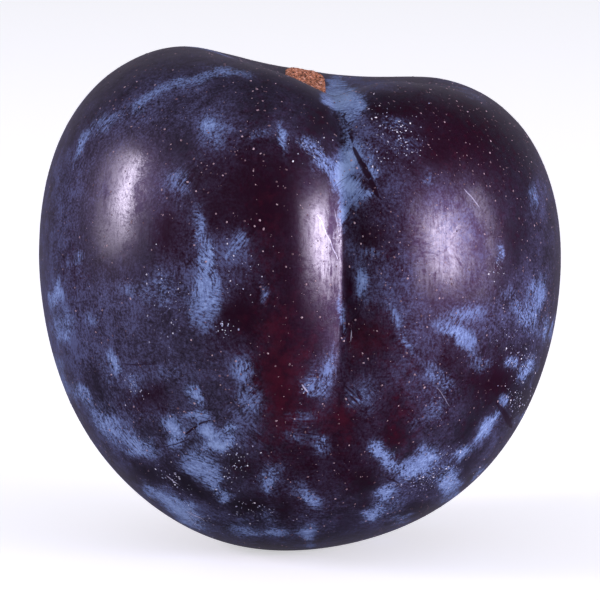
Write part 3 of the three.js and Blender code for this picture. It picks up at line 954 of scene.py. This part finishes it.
def grains_tree(name, material, smallest, largest, flatness, density_key, detail):
    """Little flat grains scattered on the skin, thicker where the value stored under their name says."""
    tree, skin, s = new_geometry_tree(name, detail)
    stored = add_term(tree, "GeometryNodeInputNamedAttribute", {"Name": name}, data_type="FLOAT")
    inputs = {"Mesh": skin, "Density": stored * getattr(s, density_key), "Seed": s.seed}
    strewn = add_node(tree, "GeometryNodeDistributePointsOnFaces", inputs, distribute_method="RANDOM")
    grain = add_term(tree, "GeometryNodeMeshIcoSphere", {"Radius": 1.0, "Subdivisions": 1})

    def chance(low, high, step):
        inputs = {2: low, 3: high, "Seed": s.seed + step}
        return add_term(tree, "FunctionNodeRandomValue", inputs, 1, data_type="FLOAT")

    size = smallest + (largest - smallest) * chance(0.0, 1.0, 1) ** 3.0
    long = chance(0.75, 1.35, 2)
    scale = combine(size * long, size / long, size * flatness)
    inputs = {"Axis": (0, 0, 1), "Angle": chance(0.0, 6.283, 3)}
    spin = add_term(tree, "FunctionNodeAxisAngleToRotation", inputs)
    points, lying = (Term(tree, strewn.outputs[key]) for key in ("Points", "Rotation"))
    turn = add_term(tree, "FunctionNodeRotateRotation", {0: lying, 1: spin}, rotation_space="LOCAL")
    inputs = {"Points": points, "Instance": grain, "Scale": scale, "Rotation": turn}
    placed = add_term(tree, "GeometryNodeInstanceOnPoints", inputs)
    inputs = {"Geometry": placed, "Name": "paleness", "Value": chance(0.0, 1.0, 4)}
    kind = {"data_type": "FLOAT", "domain": "INSTANCE"}
    return end_tree(tree, add_term(tree, "GeometryNodeStoreNamedAttribute", inputs, **kind), material)


def settle(piece, *, body="root"):
    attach(piece, body)


# ---- Operators ----

# Soft lights: name and shape; azimuth from the camera's side to the right, elevation and roll in degrees;
# width and height in metres; and watts.
LAMPS = (
    ("Left softbox", "RECTANGLE", -87, 16, 14, 0.36, 0.64, 2.5),
    ("Left strip", "ELLIPSE", -82, 19, 4, 0.16, 0.50, 4.8),
    ("Right softbox", "RECTANGLE", 65, 8, 0, 0.94, 0.58, 7.6),
    ("Right strip", "ELLIPSE", 63, 6.5, 0, 0.34, 0.46, 7.4),
)
LAMP_DISTANCE = 1.1


class PLUM_OT_stage(bpy.types.Operator):
    """Make the camera, the softboxes, the even light and the plain floor"""

    bl_idname = "plum.stage"
    bl_label = "Stage"

    def execute(self, context):
        scene = context.scene
        stage = scene.plum_stage
        scene.view_settings.view_transform = "Standard"
        aim = Vector((0, 0, stage.view_height))
        self.make_camera(scene, stage, aim)
        for row in LAMPS:
            self.make_softbox(scene, aim, *row)
        self.make_surround(scene, stage)
        self.make_floor(scene, opaque(scene.plum_colours.floor))
        return {"FINISHED"}

    def make_camera(self, scene, stage, aim):
        camera = bpy.data.objects.new("Camera", bpy.data.cameras.new("Camera"))
        back = Vector((0, -math.cos(stage.view_elevation), math.sin(stage.view_elevation)))
        camera.data.lens = stage.lens
        camera.data.clip_start = 0.05
        camera.data.clip_end = 50
        camera.location = aim + back * stage.view_distance
        camera.rotation_euler = (-back).to_track_quat("-Z", "Y").to_euler()
        scene.collection.objects.link(camera)
        scene.camera = camera

    def make_softbox(self, scene, aim, name, shape, azimuth, elevation, roll, wide, tall, watts):
        lamp = bpy.data.lights.new(name, "AREA")
        lamp.shape = shape
        lamp.size, lamp.size_y = wide, tall
        lamp.energy = watts
        lamp.color = scene.plum_colours.lamp
        turn, rise, roll = map(math.radians, (azimuth, elevation, roll))
        way = Vector((math.sin(turn) * math.cos(rise), -math.cos(turn) * math.cos(rise), math.sin(rise)))
        holder = bpy.data.objects.new(name, lamp)
        holder.location = aim + way * LAMP_DISTANCE
        facing = (-way).to_track_quat("-Z", "Y").to_matrix()
        holder.rotation_euler = (facing @ Matrix.Rotation(roll, 3, "Z")).to_euler()
        holder.visible_camera = False
        scene.collection.objects.link(holder)

    def make_surround(self, scene, stage):
        """Even light on the fruit, and a dim studio in its gloss."""
        scene.world = bpy.data.worlds.new("Studio")
        scene.world.use_nodes = True
        tree = scene.world.node_tree
        backdrop = tree.nodes["Background"]
        glossy = add_term(tree, "ShaderNodeLightPath", output="Is Glossy Ray")
        _, back, up = separate(add_term(tree, "ShaderNodeTexCoord", output="Generated"))
        tint = blend_colours(glossy, scene.plum_colours.air, scene.plum_colours.mirrored)
        plug(tree, tint, backdrop.inputs["Color"])
        from_above = up.ramp(-0.6, 1.0) * 0.62 + 0.70
        from_front = (back * -1).ramp(-0.5, 1.0) * 0.5 + 0.75
        even = from_above * from_front * stage.ambient
        mirrored = back.ramp(0.5, 1.0) * 0.13 + stage.gloss_ambient
        plug(tree, blend_values(glossy, even, mirrored), backdrop.inputs["Strength"])

    def make_floor(self, scene, tint):
        """A plain floor, lit up a little where the camera sees it."""
        side = 6.0
        corners = [(-side, -side, 0), (side, -side, 0), (side, side, 0), (-side, side, 0)]
        mesh = bpy.data.meshes.new("Floor")
        mesh.from_pydata(corners, [], [(0, 1, 2, 3)])
        floor = bpy.data.objects.new("Floor", mesh)
        scene.collection.objects.link(floor)
        material, tree, shader, _ = new_material("Floor")
        seen = add_term(tree, "ShaderNodeLightPath", output="Is Camera Ray")
        finish = {
            "Base Color": tint,
            "Roughness": 0.9,
            "Emission Color": tint,
            "Emission Strength": seen * 0.6,
        }
        for key, value in finish.items():
            plug(tree, value, shader.inputs[key])
        mesh.materials.append(material)
        floor.visible_glossy = False


class PLUM_OT_skin(bpy.types.Operator):
    """Grow the fruit's skin and lay the bloom on it"""

    bl_idname = "plum.skin"
    bl_label = "Skin"

    def execute(self, context):
        scene = context.scene
        wax = worn_wax_group(streaks_group())
        material = skin_material(scene.plum_colours, wax, scratch_group())
        tree = skin_tree(scene.plum_shape, scene.plum_detail, material)
        skin = grow("plum_skin", tree, scene.plum_shape, scene.plum_detail)
        paint_skin(skin.data, scene.plum_stage, scene.plum_detail.seed)
        settle(skin)
        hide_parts("plum")
        return {"FINISHED"}


class PLUM_OT_cork(bpy.types.Operator):
    """Lay the patch of cork where the stem came away"""

    bl_idname = "plum.cork"
    bl_label = "Cork"

    def execute(self, context):
        scene = context.scene
        material = cork_material(scene.plum_colours)
        tree = cork_tree(scene.plum_shape, scene.plum_detail, material)
        cork = grow("stem_cork", tree, scene.plum_shape, scene.plum_detail)
        settle(cork)
        return {"FINISHED"}


class PLUM_OT_marks(bpy.types.Operator):
    """Scatter the lenticels, and the dry wax flecks whose near-white colour also paints small glints, on the
    skin
    """

    bl_idname = "plum.marks"
    bl_label = "Lenticels and flecks"

    def execute(self, context):
        scene = context.scene
        detail = scene.plum_detail
        colours = scene.plum_colours
        skin = bpy.data.objects["plum_skin"]
        for name, key, smallest, largest, flatness in (
            ("lenticels", "lenticel", 0.000045, 0.00016, 0.22),
            # the flecks are wax crumbs, and their near-white colour also paints small glints
            ("flecks", "fleck", 0.00004, 0.00014, 0.4),
        ):
            tint, shade = getattr(colours, key), getattr(colours, key + "_dark")
            material = dot_material(name.capitalize(), tint, shade)
            tree = grains_tree(name, material, smallest, largest, flatness, key + "_density", detail)
            settle(grow(name, tree, detail, start=skin.data.copy()))
        return {"FINISHED"}


class PLUM_PT_panel(bpy.types.Panel):
    """Lists the steps in the order in which they are run"""

    bl_idname = "PLUM_PT_panel"
    bl_label = "Plum"
    bl_space_type = "VIEW_3D"
    bl_region_type = "UI"
    bl_category = "Plum"

    def draw(self, context):
        for operator in OPERATORS:
            self.layout.operator(operator.bl_idname)
        for key in SETTINGS:
            settings = getattr(context.scene, key)
            box = self.layout.box()
            for name in shown_keys(settings):
                box.prop(settings, name)


OPERATORS = (PLUM_OT_stage, PLUM_OT_skin, PLUM_OT_cork, PLUM_OT_marks)
SETTINGS = {
    "plum_shape": PlumShape,
    "plum_detail": PlumDetail,
    "plum_colours": PlumColours,
    "plum_stage": PlumStage,
}


def register():
    for made in (*SETTINGS.values(), *OPERATORS, PLUM_PT_panel):
        bpy.utils.register_class(made)
    for key, made in SETTINGS.items():
        setattr(bpy.types.Scene, key, bpy.props.PointerProperty(type=made))


def unregister():
    for key in SETTINGS:
        delattr(bpy.types.Scene, key)
    for made in reversed((*SETTINGS.values(), *OPERATORS, PLUM_PT_panel)):
        bpy.utils.unregister_class(made)


def main():
    register()
    for step in (bpy.ops.plum.stage, bpy.ops.plum.skin, bpy.ops.plum.cork, bpy.ops.plum.marks):
        step()


if __name__ == "__main__":
    main()
